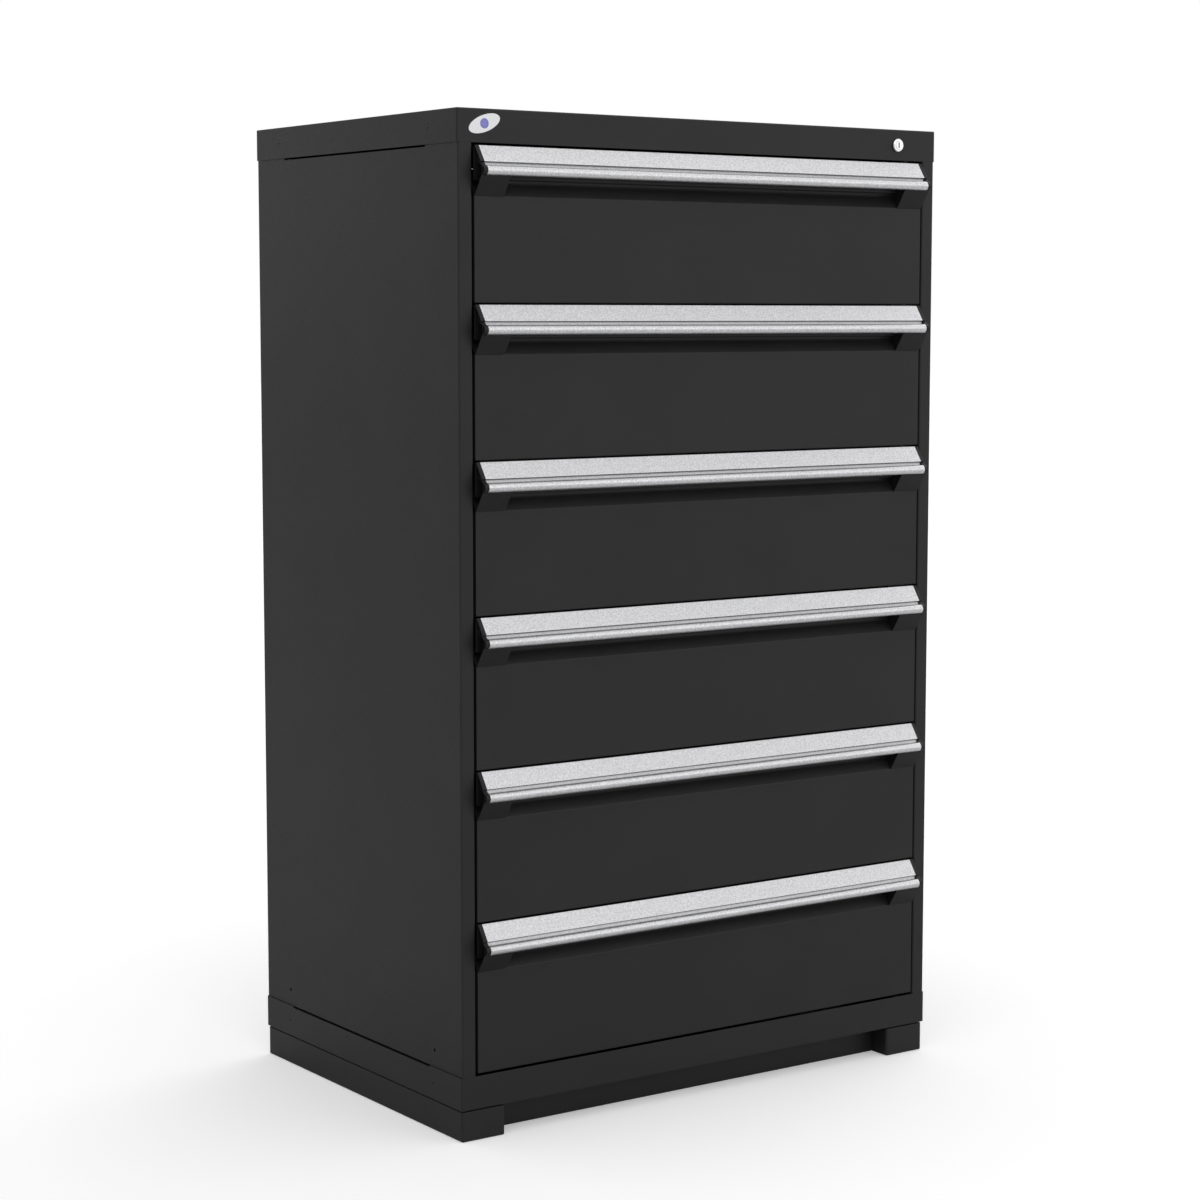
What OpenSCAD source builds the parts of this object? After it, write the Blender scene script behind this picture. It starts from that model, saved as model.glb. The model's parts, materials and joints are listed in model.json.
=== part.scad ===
// Tall modular drawer cabinet in bent sheet steel: a housing on a recessed plinth, with six
// full-width drawers on telescopic roller slides, aluminium pull handles and one key lock.
// +Z is up and the drawers open towards -Y. The origin is the centre of the footprint,
// handles included, on the floor.
//
// Lengths inside most modules are measured from the housing itself: x inwards from its left
// side, y backwards from the plane of the drawer fronts, z up from the floor.

/* [Housing] */
// Width over the side panels
cab_w = 914.4; // [760:0.1:1220]
// Depth from the drawer fronts to the back
cab_d = 609.6; // [560:0.1:760]
// Thickness of the housing's steel sheet
sheet_t = 1.9; // [1.2:0.1:2.2]
// Outside radius of the housing's bends
bend_r = 2.8; // [2.5:0.1:4]
// Height of the top cover's flanges
cover_h = 49; // [40:1:60]
// Height of the base cap's flanges
base_h = 51; // [40:1:60]
// Width of the front stile on each side
stile_w = 25.8; // [24:0.1:27]
// Play between sheets that are fastened together
seam = 0.3; // [0.1:0.05:0.5]

/* [Plinth] */
// Height of the plinth
plinth_h = 47.4; // [40:0.1:100]
// Step from the housing's sides and front in to the plinth
plinth_inset = 2.2; // [1:0.1:6]
// Gap between the plinth and the base cap
plinth_gap = 1.5; // [0.5:0.1:3]
// Radius of the plinth's upright corners
plinth_corner_r = 5; // [4:0.5:8]
// Width of each foot at the front and back
foot_w = 76.6; // [60:0.1:110]
// Depth of the toe space in front of the kick panel
toe_depth = 40; // [25:1:60]

/* [Drawers] */
// Number of drawers
drawer_count = 6; // [3:1:8]
// Height from one drawer front to the next
drawer_pitch = 228.6; // [177.8:25.4:304.8]
// Gap between one drawer front and the next
front_gap = 3; // [2:0.1:5]
// Gap between a drawer front and the stiles
side_gap = 3.6; // [2:0.1:4]
// Gap under the lowest drawer front
bottom_gap = 3.4; // [2:0.1:6]
// Gap over the highest drawer front
top_gap = 4.6; // [3:0.1:8]
// Thickness of the drawers' steel sheet
tray_t = 1.2; // [0.9:0.1:1.5]
// How far a drawer pulls out
travel = 555; // [400:5:560]

/* [Handle] */
// How far the lip stands out from the drawer fronts
handle_out = 27; // [24:0.5:32]
// Radius of the round lip
lip_r = 7.2; // [6:0.1:8]
// How far the label face slopes forwards
label_run = 16; // [12:0.5:20]
// How far the label face slopes down
label_drop = 23.6; // [20:0.1:26]
// Depth of the lip's centre below the drawer front's top
lip_drop = 35.6; // [34:0.1:38]
// Depth of the finger recess's lower edge below the drawer front's top
recess_drop = 71.5; // [66:0.5:80]
// How far the finger recess goes in behind the drawer front's face
recess_in = 12; // [11.5:0.5:13]
// Depth of the finger recess's upper edge below the drawer front's top
recess_top_drop = 47.5; // [46:0.5:49]
// Height of the finger recess's sloping face
recess_slope_h = 18.5; // [17:0.5:18.5]
// Radius of the bend at the back of the finger recess
recess_bend_r = 10; // [6:0.5:10]
// Width of the plastic end plate beside the aluminium handle
end_plate_w = 6.6; // [4:0.1:8]
// Width of the plastic bracket under each end of the lip
bracket_w = 50.2; // [30:0.1:70]

/* [Slides] */
// Height of the rail fixed in the housing
rail_h = 48; // [44:1:56]
// Height of the slides' centre line above the drawer front's bottom
slide_rise = 62; // [50:1:80]
// Radius of the slides' rollers
roller_r = 9; // [7:0.5:9]
// Pitch of the slots in the slide posts
slot_pitch = 25.4; // [25.4:25.4:50.8]

/* [Lock and badge] */
// Distance from the right side to the lock's centre
lock_side = 80.5; // [70:0.5:110]
// Distance from the top down to the lock's centre
lock_drop = 25; // [22:0.5:26]
// How far the key lifts the lock bar
lock_lift = 13; // [12:0.5:14]
// Length of the oval badge
badge_l = 56; // [40:1:60]
// Height of the oval badge
badge_h = 24; // [20:1:28]
// Tilt of the oval badge
badge_tilt = 20; // [0:1:25]

/* [Hidden] */
// Kinds of part that every drawer has one node of
DRAWER_KINDS = [
    "tray", "front", "handle", "end_caps", "drawer_slides", "middle_slides", "rollers"
];

$fn = 48;
cut = 1; // how far a cutting shape runs past the face it cuts

// Colours
powder_black = [0.16, 0.16, 0.17];
powder_grey = [0.24, 0.24, 0.25];
anodised = [0.84, 0.84, 0.86];
plastic_black = [0.07, 0.07, 0.075];
zinc = [0.62, 0.63, 0.65];
chrome = [0.86, 0.87, 0.88];

// Housing
face_y = (handle_out - cab_d) / 2;
base_top = plinth_h + base_h;
front_h = drawer_pitch - front_gap;
first_front_z = base_top + bottom_gap;
cover_bottom = first_front_z + drawer_count * drawer_pitch - front_gap + top_gap;
cab_h = cover_bottom + cover_h;
panel_x = sheet_t + 0.05;
panel_low = plinth_h + sheet_t + 1.2;
panel_high = cab_h - sheet_t - 1.2;
stile_return = 22;
front_w = cab_w - 2 * (stile_w + side_gap);
front_x = stile_w + side_gap;

// Side panel details
slot_end = 90.5; // from each end of the panel to the accessory slot
slot_high = 3;
screw_end = 79.6; // from the front and the back to the screws and holes
screw_drop = 25.4;
base_screw_z = plinth_h + 26.2;
accessory_z = base_top + 26.2;
accessory_r = 2.75;
dimple_pitch_y = 76.2;
dimple_pitch_z = 51.3;
dimple_rows = 5;
dimple_low_z = base_top - 11.9;
dimple_r = 1.6;
dimple_deep = 0.35;

// Countersunk screws
screw_head_r = 3.8;
screw_shank_r = 2.1;
screw_l = 12;
screw_play = 0.45;
screw_sunk = 0.1;
hex_r = 1.9;

// Slides: every x is measured in from the housing's side
post_x = 24.4;
post_w = 35;
post_ys = [39, cab_d - 74];
rail_x = post_x + 0.1;
rail_flange = 12.5;
rail_y = 30;
slide_l = cab_d - 59.6;
middle_x = 31.4;
middle_h = 34;
drawer_slide_x = 33.8;
tray_x = 44;
roller_play = 0.35;
stud_r = 2.5;
outer_roller_z = rail_h / 2 - sheet_t - roller_play - roller_r;
drawer_slide_h = 2 * (roller_r + roller_play + sheet_t);

// Trays
tray_y = 16.1;
tray_d = cab_d - 43.6;
tray_rise = 6;
tray_h = front_h - 45;
hem_w = 5;
tray_w = cab_w - 2 * tray_x;
catch_rise = 50; // from the slides' centre line up to the lock's catch
catch_h = 12;
catch_x = 34;
catch_y = 29.5;

// Lock
lock_x = cab_w / 2 - lock_side;
lock_z = cab_h - lock_drop;
plug_r = 6.5;
plug_play = 0.05;
plug_end = 20;
barrel_r = 9.3;
barrel_end = 16;
lock_ring_r = 10.5;
lock_proud = 4.2;
key_turn = 90;
pin_r = 3;
pin_arm = lock_lift / (2 * sin(key_turn / 2));
pin_x = pin_arm * cos(key_turn / 2);
bar_y = 24;
bar_t = 2.5;
bar_x = 8;
bar_w = 14;
arm_h = 16;
arm_low = lock_z - lock_lift / 2 - arm_h / 2;
pawl_reach = 40;

// Handle section, as (y, z) from the drawer front's face and top edge
lip_c = [lip_r - handle_out, -lip_drop];
label_top = [-1.2, 0.9];
label_low = label_top - [label_run, label_drop];
handle_back = 1.1;
strip_y = handle_back + 0.2; // the strip of the drawer front behind the handle
lip_low = lip_c[1] - lip_r;
cap_play = 0.4;
cap_wall = 1.6;

function unit(v) = v / norm(v);
function left_of(v) = [-v[1], v[0]];
function reversed(p) = [for (i = [len(p) - 1 : -1 : 0]) p[i]];

// Corner b of the path a, b, c after the path moves d to its left
function mitre(a, b, c, d) =
    let (m = left_of(unit(b - a)) + left_of(unit(c - b)))
    b + m * (2 * d / (m * m));

// An open path moved d to its left
function shifted(p, d) =
    let (n = len(p) - 1)
    [for (i = [0 : n])
        mitre(i == 0 ? 2 * p[0] - p[1] : p[i - 1], p[i], i == n ? 2 * p[n] - p[n - 1] : p[i + 1], d)];

// A closed outline, drawn anticlockwise, moved d inwards
function inset(p, d) =
    let (n = len(p))
    [for (i = [0 : n - 1]) mitre(p[(i + n - 1) % n], p[i], p[(i + 1) % n], d)];

// Points of an arc, from one angle to another
function arc(c, r, from, to, steps = 12) =
    [for (i = [0 : steps]) let (a = from + (to - from) * i / steps) c + r * [cos(a), sin(a)]];

// The arc of radius r that rounds corner b between a and c
function bend(a, b, c, r, steps = 4) =
    let (
        u = unit(a - b),
        v = unit(c - b),
        half = acos(u * v) / 2,
        centre = b + unit(u + v) * (r / sin(half)),
        from = b + u * (r / tan(half)) - centre,
        to = b + v * (r / tan(half)) - centre
    )
    [for (i = [0 : steps]) centre + r * unit(from * (steps - i) / steps + to * i / steps)];

// An open path with each corner rounded, to one radius or to a list of them
function bent(p, r) =
    [
        p[0],
        for (i = [1 : len(p) - 2]) each bend(p[i - 1], p[i], p[i + 1], is_list(r) ? r[i - 1] : r),
        p[len(p) - 1]
    ];

// The section of a bent sheet whose outer face follows path p, with its thickness to the left
function sheet(p, t) = concat(p, reversed(shifted(p, t)));

// A rectangle from the origin with rounded corners
function soft_rect(w, h, r) =
    concat(
        arc([w - r, h - r], r, 0, 90, 4),
        arc([r, h - r], r, 90, 180, 4),
        arc([r, r], r, 180, 270, 4),
        arc([w - r, r], r, 270, 360, 4)
    );

function front_z(n) = first_front_z + (drawer_count - n) * drawer_pitch;
function slide_z(n) = front_z(n) + slide_rise;

// Draws a section in (y, z) and runs it along x
module along_x(length) {
    rotate([90, 0, 90]) linear_extrude(length) children();
}

// Draws a section in (x, z) and runs it along y
module along_y(length) {
    translate([0, length, 0]) rotate([90, 0, 0]) linear_extrude(length) children();
}

// A block from the origin with every edge rounded, its upright edges perhaps more than the others
module soft_block(size, r, upright_r = 0) {
    intersection() {
        linear_extrude(size[2]) polygon(soft_rect(size[0], size[1], max(r, upright_r)));
        along_x(size[0]) polygon(soft_rect(size[1], size[2], r));
        along_y(size[1]) polygon(soft_rect(size[0], size[2], r));
    }
}

// Places a shape measured from the housing's left side and front face
module left_hand() {
    translate([-cab_w / 2, face_y, 0]) children();
}

module right_hand() {
    mirror([1, 0, 0]) left_hand() children();
}

module both_hands() {
    left_hand() children();
    right_hand() children();
}

// Places a shape that is centred in x
module centred() {
    translate([0, face_y, 0]) children();
}

// Screw positions on a side flange at height z
module at_side_screws(z) {
    for (y = [screw_end, cab_d - screw_end]) translate([0, y, z]) children();
}

// The hole for one countersunk screw, from the outside of the left side
module screw_hole() {
    rotate([0, 90, 0]) {
        translate([0, 0, -0.01])
            cylinder(r1 = screw_head_r + screw_play, r2 = screw_shank_r + screw_play, h = sheet_t + 0.02);
        cylinder(r = screw_shank_r + screw_play, h = 4 * sheet_t);
    }
}

// Shallow spot-weld dimples in two columns up a side, pressed into the face at depth x
module weld_dimples(x) {
    for (row = [0 : dimple_rows - 1], side = [-1, 1])
        translate([x - cut, cab_d / 2 + side * dimple_pitch_y / 2, dimple_low_z + row * dimple_pitch_z])
            rotate([0, 90, 0]) cylinder(r = dimple_r, h = cut + dimple_deep);
}

// A tray of housing sheet with rounded edges and an open top
module housing_pan(h) {
    difference() {
        soft_block([cab_w, cab_d, h + bend_r + cut], bend_r);
        translate([sheet_t, sheet_t, sheet_t])
            soft_block([cab_w - 2 * sheet_t, cab_d - 2 * sheet_t, h + 2 * bend_r + cut], bend_r - sheet_t);
        translate([-cut, -cut, h]) cube([cab_w + 2 * cut, cab_d + 2 * cut, 3 * bend_r + cut]);
    }
}

module top_cover() {
    color(powder_black) difference() {
        left_hand() translate([0, cab_d, cab_h]) rotate([180, 0, 0]) housing_pan(cover_h);
        both_hands() at_side_screws(cab_h - screw_drop) screw_hole();
        translate([lock_x, face_y - cut, lock_z]) rotate([-90, 0, 0])
            cylinder(r = barrel_r + screw_play, h = sheet_t + 2 * cut);
    }
}

module base_cap() {
    color(powder_black) difference() {
        left_hand() translate([0, 0, plinth_h]) housing_pan(base_h);
        both_hands() {
            at_side_screws(base_screw_z) screw_hole();
            weld_dimples(0);
            // The lower accessory slot is a notch in the flange's top edge
            translate([-cut, slot_end, base_top - 0.75 * slot_high])
                cube([sheet_t + 2 * cut, cab_d - 2 * slot_end, slot_high]);
        }
    }
}

// One side of the housing: the outer wall, with a stile folded in at the front and back
module side_panel() {
    edge = bend_r + 0.05;
    left_hand() difference() {
        translate([0, 0, panel_low]) linear_extrude(panel_high - panel_low)
            polygon(sheet(bent([
                [stile_w, stile_return],
                [stile_w, 0],
                [panel_x, 0],
                [panel_x, cab_d],
                [stile_w, cab_d],
                [stile_w, cab_d - stile_return]
            ], bend_r), -sheet_t));
        // The stiles stop short of the covers' front and back flanges
        for (y = [-cut, cab_d - edge], z = [base_top + seam - cover_h - base_h, cover_bottom - seam])
            translate([-cut, y, z]) cube([stile_w + 2 * cut, edge + cut, cover_h + base_h]);
        // The front stile's return stops short of the lock
        translate([sheet_t * 3, -cut, cover_bottom - seam]) cube([stile_w, stile_return + 2 * cut, cover_h]);
        // Screw holes, accessory holes and slots
        for (z = [base_screw_z, cab_h - screw_drop])
            at_side_screws(z) rotate([0, 90, 0])
                cylinder(r = screw_shank_r + screw_play, h = 2 * panel_x + cut);
        at_side_screws(accessory_z) rotate([0, 90, 0]) cylinder(r = accessory_r, h = 2 * panel_x + cut);
        for (z = [base_top - 0.75 * slot_high, cover_bottom - slot_high])
            translate([0, slot_end, z]) cube([2 * panel_x + cut, cab_d - 2 * slot_end, slot_high]);
        weld_dimples(panel_x);
    }
}

module left_side_panel() {
    color(powder_black) side_panel();
}

module right_side_panel() {
    color(powder_black) mirror([1, 0, 0]) side_panel();
}

// Flush between the rear stiles, with its edges folded forwards along them
module back_panel() {
    half = cab_w / 2 - stile_w - seam;
    fold = 15;
    low = base_top + seam;
    high = cover_bottom - seam;
    color(powder_black) centred() translate([0, 0, low]) linear_extrude(high - low)
        polygon(sheet(bent([
            [-half, cab_d - fold],
            [-half, cab_d],
            [half, cab_d],
            [half, cab_d - fold]
        ], bend_r), -tray_t));
}

// A skirt along one side, folded round into a foot at each end and flush with the back. Three pads
// on its top flange carry the base cap.
module plinth() {
    h = plinth_h - plinth_gap;
    pad_r = 6;
    pad_x = 13;
    d = cab_d - plinth_inset;
    flange = 25;
    foot_back = toe_depth + sheet_t;
    foot_front = foot_back - plinth_inset;
    relief = 5.5;
    notch = [relief, 15, 5];
    notch_in = 6;
    left_hand() translate([plinth_inset, plinth_inset, 0]) for (y = [pad_x, d / 2, d - pad_x])
        translate([pad_x, y, h - sheet_t]) cylinder(r = pad_r, h = sheet_t + plinth_gap);
    left_hand() translate([plinth_inset, plinth_inset, 0]) difference() {
        soft_block([foot_w, d, h], bend_r - 0.6, plinth_corner_r);
        translate([sheet_t, sheet_t, sheet_t]) soft_block(
            [foot_w - 2 * sheet_t, d - 2 * sheet_t, h - 2 * sheet_t], 0.3, plinth_corner_r - sheet_t);
        // Open on the inner side between the feet, and through the middle, leaving flanges
        translate([flange, foot_front, -cut]) cube([foot_w, d - foot_front - foot_back, h + 2 * cut]);
        translate([flange, flange, -cut]) cube([foot_w - 2 * flange, d - 2 * flange, h + 2 * cut]);
        // Corner reliefs of the folds at the feet's lower corners, and a notch in each inner wall's top
        for (x = [0, foot_w], y = [0, d])
            translate([x, y, 0]) cube([relief, relief, relief], center = true);
        for (y = [notch_in, d - notch_in - notch[1]])
            translate([foot_w - notch[0] + cut, y, h - notch[2]]) cube(notch + [0, 0, cut]);
    }
}

module left_plinth() {
    color(powder_black) plinth();
}

module right_plinth() {
    color(powder_black) mirror([1, 0, 0]) plinth();
}

// A kick panel between the front feet and another between the rear ones
module toe_kicks() {
    length = cab_w - 2 * (plinth_inset + foot_w + 0.1);
    fold = 15;
    h = plinth_h - 0.2;
    section = sheet(bent([
        [toe_depth + fold, 0], [toe_depth, 0], [toe_depth, h], [toe_depth + fold, h]
    ], bend_r), -sheet_t);
    relief = [6, 5.5];
    relief_in = 24;
    color(powder_black) for (back = [0, 1])
        translate([0, back * (2 * face_y + cab_d), 0]) mirror([0, back, 0]) centred() difference() {
            translate([-length / 2, 0, 0]) along_x(length) polygon(section);
            // A relief in the top fold near each end
            for (x = [relief_in - length / 2, length / 2 - relief_in - relief[0]])
                translate([x, toe_depth - cut, h - relief[1]])
                    cube([relief[0], 3 * cut + sheet_t, relief[1] + cut]);
        }
}

// Four slotted uprights, two on each side, that the rails hook into
module slide_posts() {
    h = panel_high - panel_low;
    slot = [5, 15];
    foot_x = panel_x + sheet_t + 0.1;
    // The slots line up with the slides' centre lines
    first = slide_z(drawer_count) - panel_low - 3 * slot_pitch;
    last = h - slot_pitch;
    color(zinc) both_hands() for (y = post_ys) translate([0, y, panel_low]) {
        translate([post_x - sheet_t, 0, 0]) along_x(sheet_t) difference() {
            square([post_w, h]);
            for (z = [first : slot_pitch : last])
                translate([(post_w - slot[0]) / 2, z - slot[1] / 2]) square(slot);
        }
        for (side = [0, post_w - sheet_t])
            translate([foot_x, side, 0]) cube([post_x - sheet_t - foot_x, sheet_t, h]);
    }
}

// The fixed members of all the slides, each with a hook into either post
module cabinet_rails() {
    hook = [4.2, 2, 10];
    section = sheet([
        [rail_flange, -rail_h / 2], [0, -rail_h / 2], [0, rail_h / 2], [rail_flange, rail_h / 2]
    ], -sheet_t);
    color(zinc) both_hands() for (n = [1 : drawer_count]) translate([rail_x, 0, slide_z(n)]) {
        translate([0, rail_y, 0]) along_y(slide_l) polygon(section);
        for (y = post_ys)
            translate([0.1 - hook[0], y + (post_w - hook[1]) / 2, -hook[2] / 2]) cube(hook);
    }
}

// Roller positions along a middle member, which moves half as far as its drawer: at full travel
// the outer pair is still in the rail, and the inner pair in the drawer's own member
roller_end = 20;
outer_rollers = [travel / 2 + roller_end, slide_l - roller_end];
inner_rollers = [roller_end, slide_l - travel / 2 - roller_end];

// Both middle members of one drawer, with the studs that their rollers turn on
module middle_slides(n) {
    stud_l = 4.6;
    color(zinc) both_hands() translate([middle_x, rail_y, slide_z(n)]) {
        translate([0, 0, -middle_h / 2]) cube([sheet_t, slide_l, middle_h]);
        for (i = [0, 1]) {
            translate([-stud_l, outer_rollers[i], -outer_roller_z]) rotate([0, 90, 0])
                cylinder(r = stud_r, h = stud_l + sheet_t / 2);
            translate([sheet_t / 2, inner_rollers[i], 0]) rotate([0, 90, 0])
                cylinder(r = stud_r, h = stud_l + sheet_t / 2);
        }
    }
}

module roller(width) {
    rotate([0, 90, 0]) difference() {
        cylinder(r = roller_r, h = width);
        translate([0, 0, -cut]) cylinder(r = stud_r + 0.1, h = width + 2 * cut);
    }
}

// The eight rollers of one drawer
module rollers(n) {
    width = 4;
    color(plastic_black) both_hands() translate([middle_x, rail_y, slide_z(n)]) for (i = [0, 1]) {
        translate([-width - 0.4, outer_rollers[i], -outer_roller_z]) roller(width);
        translate([sheet_t + 0.4, inner_rollers[i], 0]) roller(width);
    }
}

// The members fixed to both sides of one drawer, open outwards round the inner rollers
module drawer_slides(n) {
    section = sheet([
        [drawer_slide_x, -drawer_slide_h / 2],
        [tray_x - 0.05, -drawer_slide_h / 2],
        [tray_x - 0.05, drawer_slide_h / 2],
        [drawer_slide_x, drawer_slide_h / 2]
    ], sheet_t);
    color(zinc) both_hands() translate([0, rail_y, slide_z(n)]) along_y(slide_l) polygon(section);
}

// The open-topped box of one drawer, with hems along its sides and the lock's catch on its right
module tray(n) {
    color(powder_grey) translate([0, 0, front_z(n) + tray_rise]) {
        centred() translate([-tray_w / 2, tray_y, 0]) {
            difference() {
                cube([tray_w, tray_d, tray_h]);
                translate([tray_t, tray_t, tray_t])
                    cube([tray_w - 2 * tray_t, tray_d - 2 * tray_t, tray_h]);
            }
            for (x = [-hem_w, tray_w]) translate([x, 0, tray_h - tray_t]) cube([hem_w, tray_d, tray_t]);
        }
        right_hand() translate([catch_x, catch_y, slide_rise - tray_rise + catch_rise])
            cube([tray_x - catch_x, sheet_t, catch_h]);
    }
}

// One drawer front: flat below, folded into a finger recess and a mounting flange above
module front(n) {
    fold = 16;
    z0 = -front_h;
    edge_r = 2;
    lower_edge_r = 4;
    color(powder_black) centred() translate([-front_w / 2, 0, front_z(n) + front_h]) {
        along_x(front_w) polygon(sheet(bent([
            [fold, z0],
            [0, z0],
            [0, -recess_drop],
            [recess_in, recess_slope_h - recess_drop],
            [recess_in, -recess_top_drop],
            [strip_y, -recess_top_drop],
            [strip_y, -0.6],
            [fold, -0.6]
        ], [edge_r, lower_edge_r, recess_bend_r, edge_r, edge_r, edge_r]), -tray_t));
        for (x = [0, front_w - tray_t]) translate([x, tray_t, z0 + 2 * tray_t])
            cube([tray_t, fold - tray_t, front_h - recess_drop - 3 * tray_t]);
    }
}

// The aluminium handle's section: a sloping label face over a groove and a round lip,
// with a closed chamber behind the label face
module handle_section() {
    face = unit(label_low - label_top);
    wall = 2.8;
    difference() {
        polygon(concat(
            [
                [handle_back, label_top[1]],
                label_top,
                label_low,
                label_low + [1.2, -0.9],
                label_low + [3, -1.2]
            ],
            arc(lip_c, lip_r, 62, 400, 36),
            [lip_c + [6.2, 9.1], [handle_back, lip_c[1] + 14.1]]
        ));
        polygon([
            [handle_back - wall, label_top[1] - 5],
            label_low + left_of(face) * wall - face * 4,
            [handle_back - wall, lip_c[1] + 16.4]
        ]);
    }
}

module handle(n) {
    length = front_w - 2 * (end_plate_w + 0.3);
    color(anodised) centred() translate([-length / 2, 0, front_z(n) + front_h])
        along_x(length) handle_section();
}

// The plastic ends' lower outline: from under the lip to the finger recess, up its slope, round its
// bend, and out again
recess_play = 0.5;
recess_turn = atan(recess_in / recess_slope_h);
recess_bend_c = [
    recess_in - recess_bend_r,
    recess_slope_h - recess_drop + recess_bend_r * tan(recess_turn / 2)
];
end_cap_low = concat(
    [[lip_c[0], lip_low - cap_play], [-0.9, -recess_drop]],
    arc(recess_bend_c, recess_bend_r - recess_play, -recess_turn, 0, 6),
    [
        [recess_in - 4 * recess_play, -recess_top_drop - recess_play],
        [handle_back, -recess_top_drop - recess_play]
    ]
);

// Outline of the bracket that fills the finger recess under one end of the lip
bracket_outline = concat(
    [
        [handle_back, lip_c[1] + 13.4],
        [lip_c[0] + lip_r + cap_play, lip_c[1] + 9],
        [lip_c[0] + lip_r + cap_play, lip_low - cap_play]
    ],
    end_cap_low
);

// Outline of the end plate, which follows the whole handle and the bracket below it
plate_outline = concat(
    [[handle_back, label_top[1]], label_top, label_low, label_low + [2, -1.2]],
    arc(lip_c, lip_r, 95, 255, 16),
    end_cap_low
);

// The hollow inside the end plate stops short of the plate's thin top
hollow_top = label_top + 0.2 * (label_low - label_top);
hollow_outline = concat(
    [[handle_back, hollow_top[1]], hollow_top],
    [for (i = [2 : len(plate_outline) - 1]) plate_outline[i]]
);

// The two moulded plastic ends of one handle, hollow and open on their outer sides
module end_caps(n) {
    outer = 0.2;
    web = 1.5;
    color(plastic_black) both_hands()
        translate([front_x + outer, 0, front_z(n) + front_h]) difference() {
            union() {
                along_x(end_plate_w) polygon(plate_outline);
                along_x(bracket_w) polygon(bracket_outline);
            }
            translate([-cut, 0, 0]) along_x(end_plate_w - web + cut)
                polygon(inset(hollow_outline, cap_wall));
            translate([-cut, 0, 0]) along_x(bracket_w - web + cut)
                polygon(inset(bracket_outline, cap_wall));
        }
}

// Countersunk screws that hold the cover and the base cap to the side panels
module cover_screws() {
    color(plastic_black) both_hands() for (z = [base_screw_z, cab_h - screw_drop])
        at_side_screws(z) translate([screw_sunk, 0, 0]) rotate([0, 90, 0]) difference() {
            union() {
                cylinder(r1 = screw_head_r, r2 = screw_shank_r, h = sheet_t);
                translate([0, 0, sheet_t]) cylinder(r = screw_shank_r, h = screw_l - sheet_t);
            }
            translate([0, 0, -cut]) cylinder(r = hex_r, h = cut + 1.4, $fn = 6);
        }
}

// Points of an ellipse
function ellipse(a, b, steps = 60) =
    [for (i = [0 : steps - 1]) [a * cos(360 * i / steps), b * sin(360 * i / steps)]];

// A plain oval badge with a raised round button in its middle
module badge() {
    thick = 1;
    centre_x = 46.6;
    centre_drop = 21.6;
    color("white") left_hand() translate([centre_x, 0, cab_h - centre_drop]) rotate([90, 0, 0]) {
        rotate([0, 0, badge_tilt]) linear_extrude(thick) polygon(ellipse(badge_l / 2, badge_h / 2));
        translate([0, 0, thick]) cylinder(r = badge_h / 4, h = 0.5);
    }
}

// Places a shape on the lock's axis, drawn from the housing's face backwards
module at_lock() {
    translate([lock_x, face_y, lock_z]) rotate([-90, 0, 0]) children();
}

// The lock's fixed body: a bevelled ring in front of the cover, and a barrel through it
module lock_housing() {
    bevel = 1.2;
    color(chrome) at_lock() difference() {
        union() {
            translate([0, 0, -lock_proud]) cylinder(r1 = lock_ring_r - bevel, r2 = lock_ring_r, h = bevel);
            translate([0, 0, bevel - lock_proud]) cylinder(r = lock_ring_r, h = lock_proud - bevel);
            cylinder(r = barrel_r, h = barrel_end);
        }
        translate([0, 0, -lock_proud - cut])
            cylinder(r = plug_r + plug_play, h = lock_proud + barrel_end + 2 * cut);
    }
}

module lock_nut() {
    nut_r = 14;
    nut_h = 4;
    color(zinc) at_lock() translate([0, 0, sheet_t + 0.1]) difference() {
        cylinder(r = nut_r, h = nut_h, $fn = 6);
        translate([0, 0, -cut]) cylinder(r = barrel_r + 0.1, h = nut_h + 2 * cut);
    }
}

// The part that the key turns, with its keyway upright when the drawers are free
module lock_plug() {
    keyway = [1.9, 8.6, 9];
    proud = lock_proud + 0.5;
    color(chrome) at_lock() difference() {
        translate([0, 0, -proud]) cylinder(r = plug_r, h = proud + plug_end);
        translate([-keyway[0] / 2, -keyway[1] / 2, -proud - cut]) cube(keyway + [0, 0, cut]);
    }
}

// A plate on the plug's inner end, with the eccentric pin that lifts the lock bar
module lock_cam() {
    plate_t = 2;
    pin_l = 7;
    color(zinc) at_lock() translate([0, 0, plug_end + 0.05]) {
        cylinder(r = plug_r, h = plate_t);
        rotate([0, 0, 90 + key_turn / 2]) {
            translate([0, -pin_r - 1.5, 0]) cube([pin_arm, 2 * pin_r + 3, plate_t]);
            translate([pin_arm, 0, 0]) {
                cylinder(r = pin_r + 1.5, h = plate_t);
                cylinder(r = pin_r, h = plate_t + pin_l);
            }
        }
    }
}

// An upright strip behind the right stile, with an arm to the cam and a pawl for each drawer
module lock_bar() {
    low = slide_z(drawer_count) + catch_rise - 30;
    slot_play = 0.6;
    // The slot is as wide as the pin's sideways swing
    slot_w = (pin_arm - pin_x) + 2 * (pin_r + slot_play);
    slot_h = 2 * (pin_r + slot_play);
    arm_end = lock_side + pin_arm + pin_r + 7;
    color(zinc) right_hand() translate([0, bar_y, 0]) difference() {
        union() {
            translate([bar_x, 0, low]) cube([bar_w, bar_t, arm_low + arm_h - low]);
            translate([bar_x, 0, arm_low]) cube([arm_end - bar_x, bar_t, arm_h]);
            for (n = [1 : drawer_count])
                translate([bar_x, 0, slide_z(n) + catch_rise - lock_lift])
                    cube([pawl_reach - bar_x, bar_t, catch_h]);
        }
        translate([lock_side + pin_x - pin_r - slot_play, -cut, arm_low + (arm_h - slot_h) / 2])
            cube([slot_w, bar_t + 2 * cut, slot_h]);
    }
}

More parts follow.
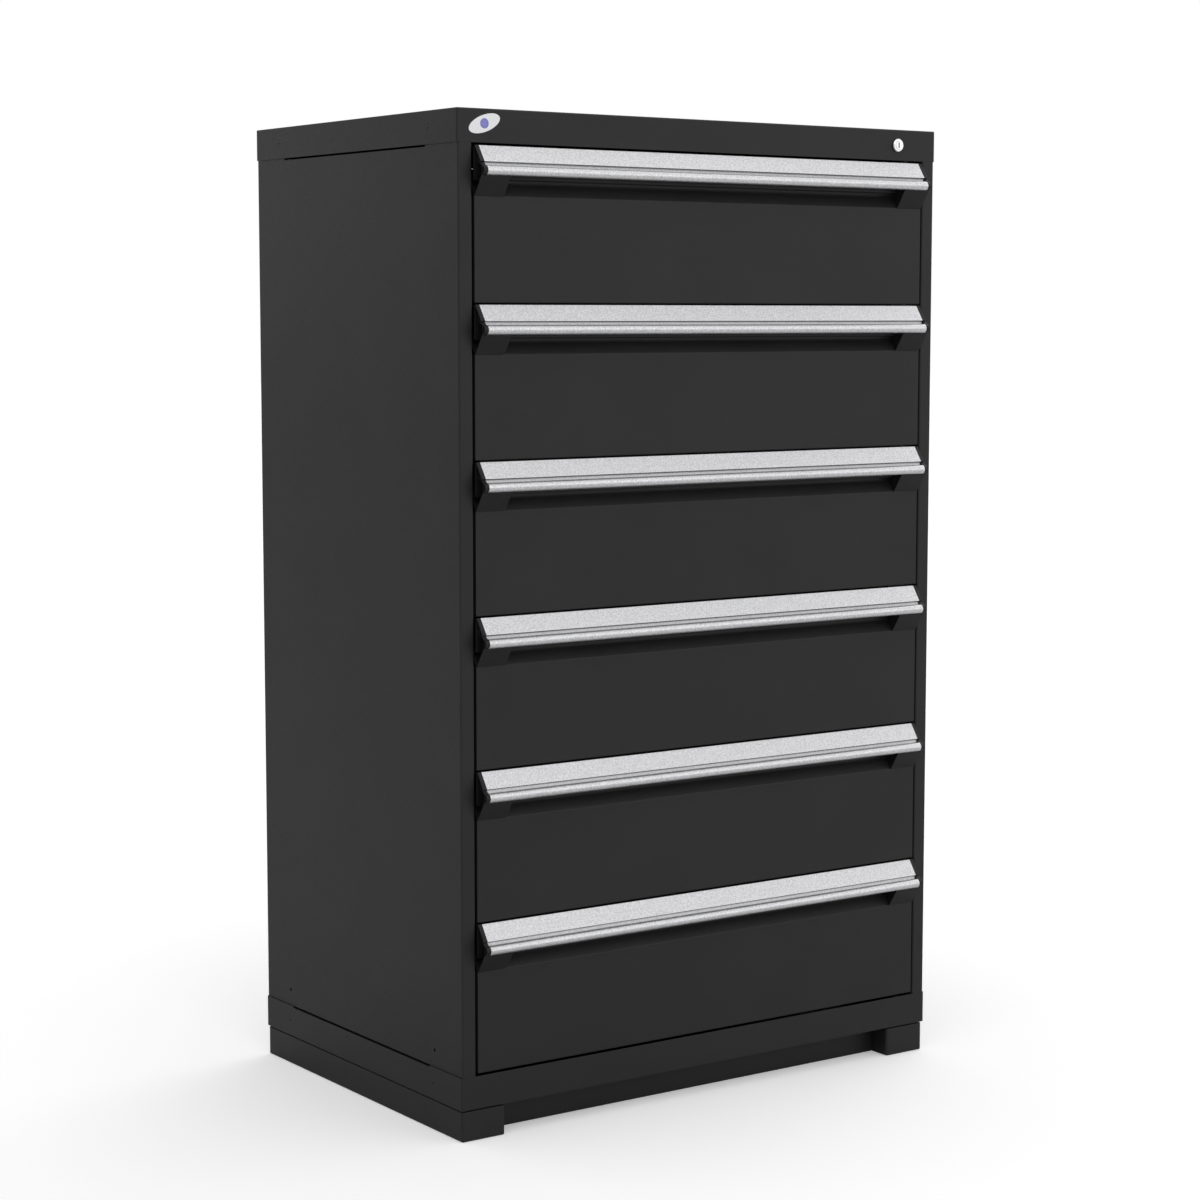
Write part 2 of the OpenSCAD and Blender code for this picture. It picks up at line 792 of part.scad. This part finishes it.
// Three clips on the right side panel that the lock bar slides in
module lock_bar_guides() {
    clip_h = 20;
    play = 0.4;
    thick = 1;
    depth = bar_t + 2 * (play + thick);
    color(plastic_black) right_hand() for (n = [1 : 2 : drawer_count])
        translate([panel_x + sheet_t + 0.05, bar_y - play - thick, slide_z(n) + drawer_pitch / 2 - 40])
            difference() {
                cube([bar_x + bar_w - panel_x - sheet_t + 1, depth, clip_h]);
                translate([thick, thick, -cut])
                    cube([2 * stile_w, depth - 2 * thick, clip_h + 2 * cut]);
            }
}

top_cover();
left_side_panel();
right_side_panel();
back_panel();
base_cap();
left_plinth();
right_plinth();
toe_kicks();
slide_posts();
cabinet_rails();
cover_screws();
badge();
lock_housing();
lock_nut();
lock_bar_guides();
lock_plug();
lock_cam();
lock_bar();
for (n = [1 : drawer_count]) {
    tray(n);
    front(n);
    handle(n);
    end_caps(n);
    drawer_slides(n);
    middle_slides(n);
    rollers(n);
}
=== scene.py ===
import json
import math

import bpy
from mathutils import Matrix, Vector


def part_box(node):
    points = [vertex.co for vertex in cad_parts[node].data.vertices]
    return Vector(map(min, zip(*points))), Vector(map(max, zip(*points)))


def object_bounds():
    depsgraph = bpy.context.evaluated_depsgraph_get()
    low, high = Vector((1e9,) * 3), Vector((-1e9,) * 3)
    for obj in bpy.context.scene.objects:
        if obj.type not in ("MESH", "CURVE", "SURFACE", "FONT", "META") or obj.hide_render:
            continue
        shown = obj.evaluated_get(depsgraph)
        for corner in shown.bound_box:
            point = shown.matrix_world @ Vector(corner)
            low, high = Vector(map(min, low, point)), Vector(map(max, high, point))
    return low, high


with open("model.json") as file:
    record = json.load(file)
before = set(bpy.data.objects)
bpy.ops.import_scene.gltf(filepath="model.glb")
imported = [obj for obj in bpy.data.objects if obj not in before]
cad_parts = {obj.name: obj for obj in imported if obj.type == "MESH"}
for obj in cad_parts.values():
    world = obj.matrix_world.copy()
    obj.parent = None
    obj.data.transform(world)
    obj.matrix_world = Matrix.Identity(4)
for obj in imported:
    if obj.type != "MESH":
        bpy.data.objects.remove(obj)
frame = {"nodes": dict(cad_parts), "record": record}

MM = 0.001
cad_low, cad_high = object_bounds()
face_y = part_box("front_1")[0].y
housing_low = Vector((cad_low.x, face_y, cad_low.z))


# Camera, placed from the housing's lower front left corner

CAMERA_OFFSET = Vector((-2.0850, -3.3326, 1.2281))
CAMERA_YAW = math.radians(35.0263)
CAMERA_PITCH = math.radians(6.0135)
CAMERA_ROLL = math.radians(0.017)
CAMERA_LENS = 81.23
CAMERA_REACH = 200


def make_camera():
    """The photograph's viewpoint: from the left, a little above the middle, with a long lens."""
    camera = bpy.data.objects.new("camera", bpy.data.cameras.new("camera"))
    bpy.context.scene.collection.objects.link(camera)
    turn = (
        Matrix.Rotation(-CAMERA_YAW, 4, "Z")
        @ Matrix.Rotation(math.pi / 2 - CAMERA_PITCH, 4, "X")
        @ Matrix.Rotation(CAMERA_ROLL, 4, "Z")
    )
    camera.matrix_world = Matrix.Translation(housing_low + CAMERA_OFFSET) @ turn
    camera.data.lens = CAMERA_LENS
    camera.data.clip_end = CAMERA_REACH
    bpy.context.scene.camera = camera


# Materials

def add(tree, kind, inputs=(), **settings):
    """Adds a shader node. inputs maps sockets to values or to the outputs that feed them."""
    node = tree.nodes.new(kind)
    for name, value in settings.items():
        setattr(node, name, value)
    for socket, value in dict(inputs).items():
        if isinstance(value, bpy.types.NodeSocket):
            tree.links.new(value, node.inputs[socket])
        else:
            node.inputs[socket].default_value = value
    return node


def place(tree):
    """The point being shaded, in the part's own frame, in metres."""
    return add(tree, "ShaderNodeTexCoord").outputs["Object"]


def noise(tree, where, size, detail=2.0, roughness=0.5):
    """Noise from 0 to 1 whose blotches are about size metres across."""
    inputs = {"Vector": where, "Scale": 1 / size, "Detail": detail, "Roughness": roughness}
    return add(tree, "ShaderNodeTexNoise", inputs).outputs[0]


def stretched(tree, where, x=1.0, y=1.0, z=1.0):
    """Coordinates scaled along the axes, for grain that runs one way."""
    return add(tree, "ShaderNodeMapping", {"Vector": where, "Scale": (x, y, z)}).outputs[0]


def remap(tree, value, low, high, to_low, to_high):
    inputs = {"Value": value, "From Min": low, "From Max": high, "To Min": to_low, "To Max": to_high}
    return add(tree, "ShaderNodeMapRange", inputs).outputs[0]


def maths(tree, operation, a, b, c=0.0):
    return add(tree, "ShaderNodeMath", {0: a, 1: b, 2: c}, operation=operation).outputs[0]


def blend_colour(tree, factor, a, b):
    """Colour a where factor is 0 and b where it is 1. Either may be a tuple or an output."""
    mix = add(tree, "ShaderNodeMix", {0: factor}, data_type="RGBA")
    for socket, value in ((mix.inputs[6], a), (mix.inputs[7], b)):
        if isinstance(value, bpy.types.NodeSocket):
            tree.links.new(value, socket)
        else:
            socket.default_value = (*value, 1)
    return mix.outputs[2]


def bump(tree, height, depth, below=None):
    """A normal raised by height times depth metres, on top of another bump if one is given."""
    inputs = {"Height": height, "Distance": depth, "Strength": 1.0}
    if below is not None:
        inputs["Normal"] = below
    return add(tree, "ShaderNodeBump", inputs).outputs[0]


def worn_edge(tree, radius, patches):
    """1 along sharp edges that are rubbed, and 0 on open faces."""
    rounded = add(tree, "ShaderNodeBevel", {"Radius": radius}, samples=4).outputs[0]
    flat = add(tree, "ShaderNodeNewGeometry").outputs["Normal"]
    along = add(tree, "ShaderNodeVectorMath", {0: rounded, 1: flat}, operation="DOT_PRODUCT")
    edge = remap(tree, along.outputs["Value"], 0.995, 0.88, 0.0, 1.0)
    return maths(tree, "MULTIPLY", edge, remap(tree, patches, 0.3, 0.7, 0.35, 1.0))


def painted_crevice_shade(tree, reach):
    """Painted shade mask: 1 in the open, falling to 0 in grooves and corners narrower than reach, where the
    colour is darkened as though shadowed.
    """
    shade = add(tree, "ShaderNodeAmbientOcclusion", {"Distance": reach}, samples=6).outputs["AO"]
    return remap(tree, shade, 0.25, 0.85, 0.0, 1.0)


def new_material(name):
    material = bpy.data.materials.new(name)
    material.use_nodes = True
    tree = material.node_tree
    tree.nodes.clear()
    shader = add(tree, "ShaderNodeBsdfPrincipled")
    output = add(tree, "ShaderNodeOutputMaterial")
    tree.links.new(shader.outputs[0], output.inputs[0])
    return material, tree, shader


def finish_material(tree, shader, colour, roughness, normal):
    tree.links.new(colour, shader.inputs["Base Color"])
    tree.links.new(roughness, shader.inputs["Roughness"])
    tree.links.new(normal, shader.inputs["Normal"])


def powder_coat(name, dark, light, rub):
    """Satin powder coat: a fine orange peel with faint mottling, rubbed a little paler on its edges."""
    material, tree, shader = new_material(name)
    where = place(tree)
    mottle = noise(tree, where, 0.11, detail=3)
    peel = noise(tree, where, 0.0024, detail=1)
    grain = noise(tree, where, 0.0007, detail=2)
    body = blend_colour(tree, remap(tree, mottle, 0.3, 0.7, 0.0, 1.0), dark, light)
    speck = remap(tree, grain, 0.35, 0.75, 0.0, 0.35)
    body = blend_colour(tree, speck, body, tuple(1.5 * c for c in light))
    colour = blend_colour(tree, maths(tree, "MULTIPLY", worn_edge(tree, 0.0012, mottle), 0.5), body, rub)
    roughness = remap(tree, peel, 0.3, 0.7, 0.40, 0.50)
    normal = bump(tree, peel, 0.00005, bump(tree, grain, 0.00002))
    finish_material(tree, shader, colour, roughness, normal)
    shader.inputs["Specular IOR Level"].default_value = 0.34
    return material


def anodised_aluminium():
    """Bead-blasted and anodised: bright, satin, with a fine sparkle and faint lines along its length."""
    material, tree, shader = new_material("anodised_aluminium")
    where = place(tree)
    sparkle = noise(tree, where, 0.0022, detail=3, roughness=0.7)
    grit = noise(tree, where, 0.0006, detail=2)
    lines = noise(tree, stretched(tree, where, x=0.03), 0.0008)
    tone = maths(tree, "MULTIPLY", sparkle, remap(tree, lines, 0.3, 0.7, 0.95, 1.05))
    shine = remap(tree, tone, 0.38, 0.62, 0.0, 1.0)
    body = blend_colour(tree, shine, (0.66, 0.66, 0.675), (0.93, 0.93, 0.945))
    body = blend_colour(tree, worn_edge(tree, 0.0008, sparkle), body, (0.95, 0.95, 0.96))
    # Painted shade: the colour falls towards near-black in the groove under the label face and other narrow
    # hollows.
    colour = blend_colour(tree, painted_crevice_shade(tree, 0.009), (0.10, 0.10, 0.105), body)
    roughness = remap(tree, sparkle, 0.3, 0.7, 0.34, 0.44)
    normal = bump(tree, sparkle, 0.00006, bump(tree, grit, 0.00003))
    finish_material(tree, shader, colour, roughness, normal)
    shader.inputs["Metallic"].default_value = 1.0
    return material


def black_plastic():
    """Moulded plastic with a fine spark-eroded grain, polished along its edges by hands."""
    material, tree, shader = new_material("black_plastic")
    where = place(tree)
    grain = noise(tree, where, 0.0009, detail=3)
    cloud = noise(tree, where, 0.02)
    body = blend_colour(tree, cloud, (0.006, 0.006, 0.0065), (0.010, 0.010, 0.011))
    colour = blend_colour(tree, worn_edge(tree, 0.0008, cloud), body, (0.035, 0.035, 0.037))
    roughness = remap(tree, grain, 0.3, 0.7, 0.42, 0.6)
    finish_material(tree, shader, colour, roughness, bump(tree, grain, 0.00005))
    shader.inputs["Specular IOR Level"].default_value = 0.35
    return material


def zinc_plate():
    """Bright zinc on rolled steel: a cloudy passivated sheen with drawn lines along the slides."""
    material, tree, shader = new_material("zinc_steel")
    where = place(tree)
    cloud = noise(tree, where, 0.018, detail=4)
    lines = noise(tree, stretched(tree, where, y=0.02), 0.0007)
    body = blend_colour(tree, cloud, (0.42, 0.43, 0.45), (0.62, 0.62, 0.62))
    colour = blend_colour(tree, worn_edge(tree, 0.0006, cloud), body, (0.75, 0.75, 0.76))
    roughness = remap(tree, cloud, 0.3, 0.7, 0.3, 0.45)
    finish_material(tree, shader, colour, roughness, bump(tree, lines, 0.00002))
    shader.inputs["Metallic"].default_value = 1.0
    return material


def chrome():
    """Polished chrome with faint turning marks and handling haze."""
    material, tree, shader = new_material("chrome")
    where = place(tree)
    haze = noise(tree, where, 0.004, detail=3)
    marks = noise(tree, where, 0.0003)
    body = blend_colour(tree, haze, (0.84, 0.85, 0.86), (0.93, 0.93, 0.93))
    # Painted shade: the colour falls to near-black in the keyway and other narrow hollows.
    colour = blend_colour(tree, painted_crevice_shade(tree, 0.003), (0.02, 0.02, 0.02), body)
    roughness = remap(tree, haze, 0.3, 0.7, 0.08, 0.2)
    finish_material(tree, shader, colour, roughness, bump(tree, marks, 0.000004))
    shader.inputs["Metallic"].default_value = 1.0
    return material


def badge_enamel():
    """White enamel with a plain violet button in the middle."""
    material, tree, shader = new_material("badge_white")
    where = place(tree)
    low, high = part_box("badge")
    centre = (low + high) / 2
    centre.y = low.y
    away = add(tree, "ShaderNodeVectorMath", {0: where, 1: centre}, operation="DISTANCE").outputs["Value"]
    radius = (high.z - low.z) / 4
    button = remap(tree, away, radius * 0.98, radius * 1.02, 1.0, 0.0)
    cloud = noise(tree, where, 0.004)
    violet = blend_colour(tree, cloud, (0.16, 0.17, 0.55), (0.28, 0.28, 0.68))
    white = blend_colour(tree, cloud, (0.92, 0.92, 0.95), (0.96, 0.96, 0.98))
    roughness = remap(tree, cloud, 0.3, 0.7, 0.2, 0.3)
    colour = blend_colour(tree, button, white, violet)
    finish_material(tree, shader, colour, roughness, bump(tree, cloud, 0.00001))
    shader.inputs["Coat Weight"].default_value = 0.4
    return material


def black_oxide():
    """Blackened screw steel, oily and a little rubbed on its rims."""
    material, tree, shader = new_material("black_oxide")
    where = place(tree)
    cloud = noise(tree, where, 0.003, detail=3)
    body = blend_colour(tree, cloud, (0.008, 0.008, 0.009), (0.018, 0.018, 0.019))
    colour = blend_colour(tree, worn_edge(tree, 0.0003, cloud), body, (0.05, 0.05, 0.052))
    roughness = remap(tree, cloud, 0.3, 0.7, 0.35, 0.5)
    finish_material(tree, shader, colour, roughness, bump(tree, cloud, 0.00002))
    return material


SLOTS = {
    "powder_coat_black": powder_coat(
        "powder_coat_black",
        dark=(0.0125, 0.0126, 0.0129),
        light=(0.0160, 0.0160, 0.0163),
        rub=(0.05, 0.05, 0.052),
    ),
    "powder_coat_grey": powder_coat(
        "powder_coat_grey",
        dark=(0.022, 0.0221, 0.0228),
        light=(0.028, 0.028, 0.029),
        rub=(0.07, 0.07, 0.072),
    ),
    "anodised_aluminium": anodised_aluminium(),
    "black_plastic": black_plastic(),
    "zinc_steel": zinc_plate(),
    "black_oxide": black_oxide(),
    "chrome": chrome(),
    "badge_white": badge_enamel(),
}


def paint_nodes():
    """Gives every node the material of its slot."""
    for part in frame["record"]["subparts"]:
        mesh = frame["nodes"][part["node"]].data
        mesh.materials.clear()
        mesh.materials.append(SLOTS[part["material_slot"]])


# Softened edges

EDGE_WIDTHS = {
    "powder_coat_black": 0.5 * MM,
    "powder_coat_grey": 0.4 * MM,
    "anodised_aluminium": 0.6 * MM,
    "black_plastic": 0.5 * MM,
    "zinc_steel": 0.25 * MM,
    "black_oxide": 0.15 * MM,
    "chrome": 0.3 * MM,
    "badge_white": 0.3 * MM,
}
WELD_REACH = 0.001 * MM
MERGE_ANGLE = math.radians(0.5)
BEVEL_ANGLE = math.radians(32)
HIDDEN_PARTS = ("slide_posts", "cabinet_rails", "rollers", "lock_nut", "lock_bar_guides")


def soften_edges():
    """Joins each node's split corners, rounds its sharp edges and keeps its broad faces flat."""
    for part in frame["record"]["subparts"]:
        piece = frame["nodes"][part["node"]]
        smooth = not part["node"].startswith("end_caps")
        for polygon in piece.data.polygons:
            polygon.use_smooth = smooth
        weld = piece.modifiers.new("weld", "WELD")
        weld.merge_threshold = WELD_REACH
        flat = piece.modifiers.new("merge_flat", "DECIMATE")
        flat.decimate_type = "DISSOLVE"
        flat.angle_limit = MERGE_ANGLE
        if not part["node"].startswith(HIDDEN_PARTS):
            bevel = piece.modifiers.new("bevel", "BEVEL")
            bevel.width = EDGE_WIDTHS[part["material_slot"]]
            bevel.segments = 2
            bevel.limit_method = "ANGLE"
            bevel.angle_limit = BEVEL_ANGLE
            bevel.use_clamp_overlap = True
        normals = piece.modifiers.new("flat_faces", "WEIGHTED_NORMAL")
        normals.weight = 100
        normals.keep_sharp = False


# Studio

FLOOR_BOUNCE = 0.62
FLOOR_LIFT = 0.28
FLOOR_HALF = 40
FLOOR_DROP = 0.5 * MM
DOME_DIM = 0.33
# The dome's bright patches: where each lies as seen from the cabinet, its narrowness and its power
SOFT_LIGHTS = (
    ((0.0, 0.0, 1.0), 2, 0.50),
    ((-0.5, -0.7, 0.5), 8, 0.80),
    ((-0.7, 0.5, 0.4), 8, 0.10),
    ((0.0, -0.6, 0.8), 8, 0.35),
    ((0.6, -0.8, 0.1), 8, 0.90),
    ((1.0, 0.4, 0.45), 8, 1.50),
)
# A soft square light behind on the left. Its place is measured from the middle of the front's top edge
SIDE_LIGHT_PLACE = Vector((-1.6, 3.0, 0.2))
SIDE_LIGHT_SIZE = 0.9
SIDE_LIGHT_POWER = 1.6


def light_path(tree):
    """1 for what the camera sees directly, and 0 for light on its way between surfaces."""
    return add(tree, "ShaderNodeLightPath").outputs["Is Camera Ray"]


def make_floor():
    """A pale floor that runs out of sight. The camera sees it lifted towards white, as in a studio cove."""
    material, tree, shader = new_material("floor_white")
    where = place(tree)
    cloud = noise(tree, where, 0.6)
    colour = blend_colour(tree, cloud, (0.90, 0.90, 0.90), (0.92, 0.92, 0.92))
    roughness = remap(tree, cloud, 0.3, 0.7, 0.85, 0.95)
    finish_material(tree, shader, colour, roughness, bump(tree, cloud, 0.0001))
    shader.inputs["Specular IOR Level"].default_value = 0.0
    shader.inputs["Emission Color"].default_value = (1, 1, 1, 1)
    shader.inputs["Emission Strength"].default_value = FLOOR_LIFT
    bounce = add(tree, "ShaderNodeBsdfDiffuse", {"Color": (FLOOR_BOUNCE, FLOOR_BOUNCE, FLOOR_BOUNCE, 1)})
    sides = {0: light_path(tree), 1: bounce.outputs[0], 2: shader.outputs[0]}
    seen = add(tree, "ShaderNodeMixShader", sides)
    output = next(node for node in tree.nodes if node.type == "OUTPUT_MATERIAL")
    tree.links.new(seen.outputs[0], output.inputs[0])
    mesh = bpy.data.meshes.new("floor")
    corners = [(x * FLOOR_HALF, y * FLOOR_HALF, 0) for x, y in ((-1, -1), (1, -1), (1, 1), (-1, 1))]
    mesh.from_pydata(corners, [], [(0, 1, 2, 3)])
    mesh.materials.append(material)
    floor = bpy.data.objects.new("floor", mesh)
    floor.location.z = cad_low.z - FLOOR_DROP
    bpy.context.scene.collection.objects.link(floor)


def make_side_light():
    """A soft light on the rear left, aimed at the middle of the cabinet's top edge."""
    top = Vector(((cad_low.x + cad_high.x) / 2, face_y, cad_high.z))
    light = bpy.data.objects.new("side", bpy.data.lights.new("side", "AREA"))
    light.data.size = SIDE_LIGHT_SIZE
    light.data.energy = SIDE_LIGHT_POWER
    light.location = top + SIDE_LIGHT_PLACE
    light.rotation_euler = (-SIDE_LIGHT_PLACE).to_track_quat("-Z", "Y").to_euler()
    bpy.context.scene.collection.objects.link(light)


def make_world():
    """A dim white dome with soft bright patches. Behind the cabinet the camera sees it pure white."""
    world = bpy.data.worlds.new("studio")
    world.use_nodes = True
    tree = world.node_tree
    direction = add(tree, "ShaderNodeTexCoord").outputs["Generated"]
    strength = DOME_DIM
    for towards, spread, power in SOFT_LIGHTS:
        facing = add(
            tree,
            "ShaderNodeVectorMath",
            {0: direction, 1: Vector(towards).normalized()},
            operation="DOT_PRODUCT",
        )
        patch = maths(tree, "POWER", maths(tree, "MAXIMUM", facing.outputs["Value"], 0.0), spread)
        strength = maths(tree, "MULTIPLY_ADD", patch, power, strength)
    background = tree.nodes["Background"]
    background.inputs["Color"].default_value = (1, 1, 1, 1)
    seen = light_path(tree)
    unseen = maths(tree, "SUBTRACT", 1.0, seen)
    tree.links.new(maths(tree, "MULTIPLY_ADD", strength, unseen, seen), background.inputs["Strength"])
    bpy.context.scene.world = world


make_camera()
paint_nodes()
soften_edges()
make_floor()
make_world()
make_side_light()
bpy.context.scene.view_settings.view_transform = "Standard"
